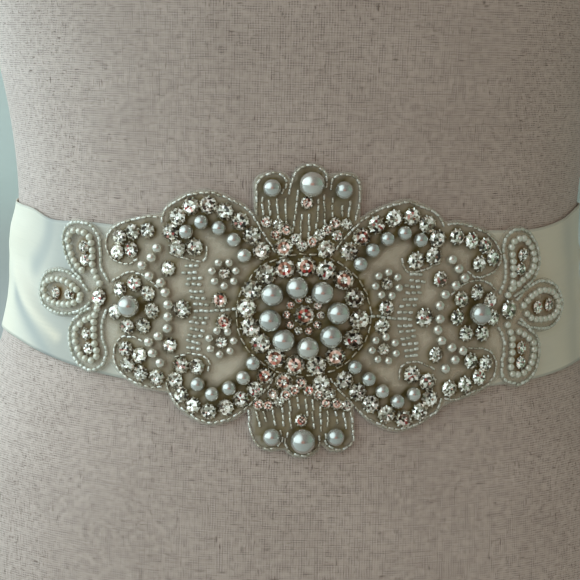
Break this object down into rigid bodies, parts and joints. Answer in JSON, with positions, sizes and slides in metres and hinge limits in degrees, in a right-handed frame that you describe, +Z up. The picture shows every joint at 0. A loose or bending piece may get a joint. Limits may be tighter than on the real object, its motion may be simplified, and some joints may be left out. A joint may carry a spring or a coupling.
{
  "type": "bridal sash on a dress form",
  "caption": "Satin ribbon sash with a beaded organza applique, tied behind round the waist of a limbless tabletop dress form.",
  "frame": {"origin": "centre of the dress form's flat underside", "axes": "+Z up the form, -Y towards the front with the applique, +X to the right seen from the front"},
  "size_m": [0.3362, 0.2418, 0.712],
  "materials": {
    "linen": "matt woven linen",
    "cap_wood": "satin varnish",
    "satin": "ivory satin",
    "organza": "sheer olive-beige organza",
    "pearl": "lustrous white pearl",
    "crystal": "cut and polished",
    "setting": "silver plated",
    "bugle": "silver lined"
  },
  "bodies": {
    "root": {"form_torso": "linen", "form_neck_cap": "cap_wood", "ribbon_band": "satin", "ribbon_knot": "satin", "ribbon_tail_left": "satin", "ribbon_tail_right": "satin", "applique": "organza"}
  },
  "joints": []
}
